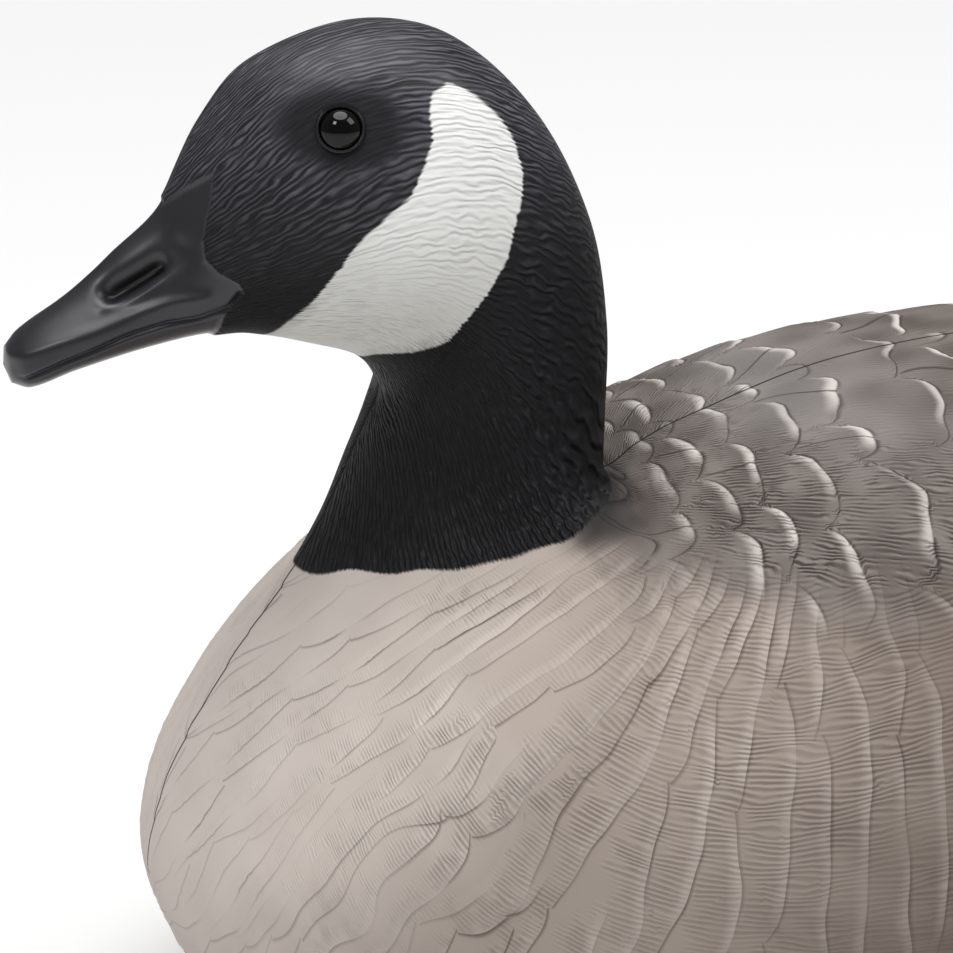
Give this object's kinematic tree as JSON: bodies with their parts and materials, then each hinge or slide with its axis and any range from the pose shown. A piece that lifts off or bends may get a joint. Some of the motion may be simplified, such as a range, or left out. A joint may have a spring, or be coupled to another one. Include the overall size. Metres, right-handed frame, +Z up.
{
  "type": "goose decoy",
  "caption": "Life-size resting goose decoy in moulded plastic, head up, with carved feathers, a pale cheek patch, glossy eyes and a flat belly to sit on.",
  "frame": {"origin": "under the middle of the bird, on the surface that it rests on", "axes": "+Z up, -Y where the bill points, +Y towards the tail, +X the bird's left side"},
  "size_m": [0.2666, 0.577, 0.2715],
  "materials": {
    "painted_plastic": "matte airbrushed paint over moulded feathers",
    "eye": "polished dome"
  },
  "bodies": {
    "root": {"decoy_body": "painted_plastic", "eye_left": "eye", "eye_right": "eye"}
  },
  "joints": []
}
